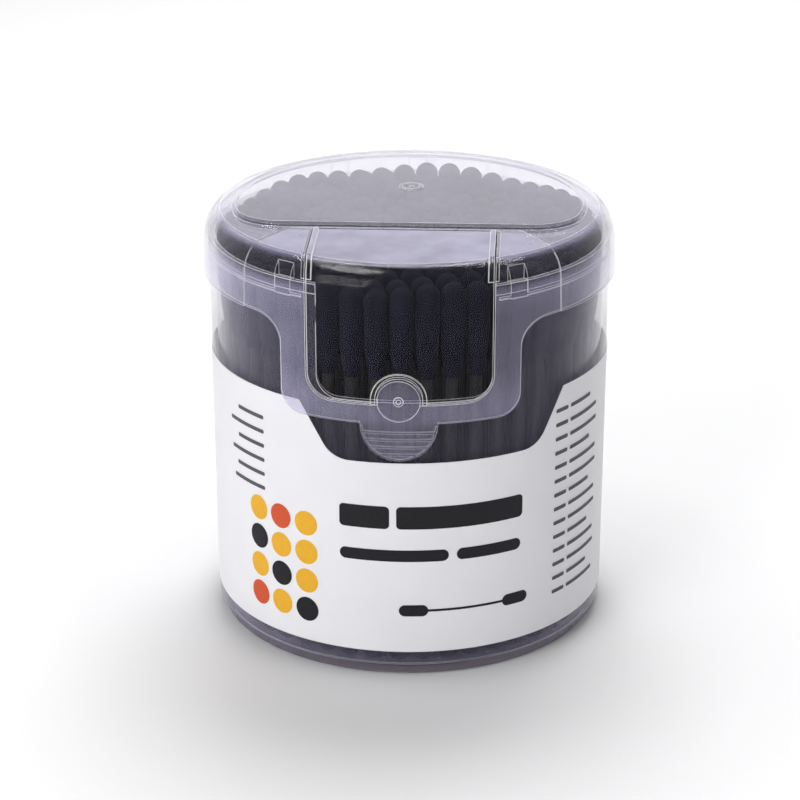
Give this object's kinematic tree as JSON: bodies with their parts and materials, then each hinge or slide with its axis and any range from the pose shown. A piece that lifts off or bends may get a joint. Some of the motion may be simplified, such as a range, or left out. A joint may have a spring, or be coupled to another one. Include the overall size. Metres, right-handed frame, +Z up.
{
  "type": "round flip-top tub of cotton swabs",
  "caption": "Clear round tub with a snap lid, a hinged dispensing flap and a paper wrap label, packed upright with black double-ended cotton swabs.",
  "frame": {"origin": "centre of the foot ring, on the table", "axes": "+Z up along the tub's axis, -Y towards the flap and thumb tab, +X to the right seen from the front"},
  "size_m": [0.08, 0.0806, 0.0838],
  "materials": {
    "tub_plastic": "clear, glossy, slightly hazy",
    "lid_plastic": "clear, glossy, with a milky haze",
    "label_paper": "satin coated paper",
    "black_cotton": "matte, fluffy",
    "paper_stick": "matte rolled paper"
  },
  "bodies": {
    "tub_body": {"tub": "tub_plastic", "label": "label_paper", "heads_top_1": "black_cotton", "heads_top_2": "black_cotton", "heads_top_3": "black_cotton", "heads_top_4": "black_cotton", "heads_top_5": "black_cotton", "heads_top_6": "black_cotton", "heads_top_7": "black_cotton", "heads_top_8": "black_cotton", "sticks_1": "paper_stick", "sticks_2": "paper_stick", "sticks_3": "paper_stick", "sticks_4": "paper_stick", "sticks_5": "paper_stick", "sticks_6": "paper_stick", "sticks_7": "paper_stick", "sticks_8": "paper_stick", "heads_base_1": "black_cotton", "heads_base_2": "black_cotton", "heads_base_3": "black_cotton", "heads_base_4": "black_cotton", "heads_base_5": "black_cotton", "heads_base_6": "black_cotton", "heads_base_7": "black_cotton", "heads_base_8": "black_cotton"},
    "lid_body": {"lid": "lid_plastic"},
    "flap_body": {"flap": "lid_plastic"}
  },
  "joints": [
    {"name": "lid_lift", "type": "slide", "parent": "tub_body", "child": "lid_body", "axis": [0, 0, 1], "range_m": [0, 0.045]},
    {"name": "flap_hinge", "type": "hinge", "parent": "lid_body", "child": "flap_body", "pos_m": [0, -0.017, 0.0827], "axis": [-1, 0, 0], "range_deg": [0, 130]}
  ]
}
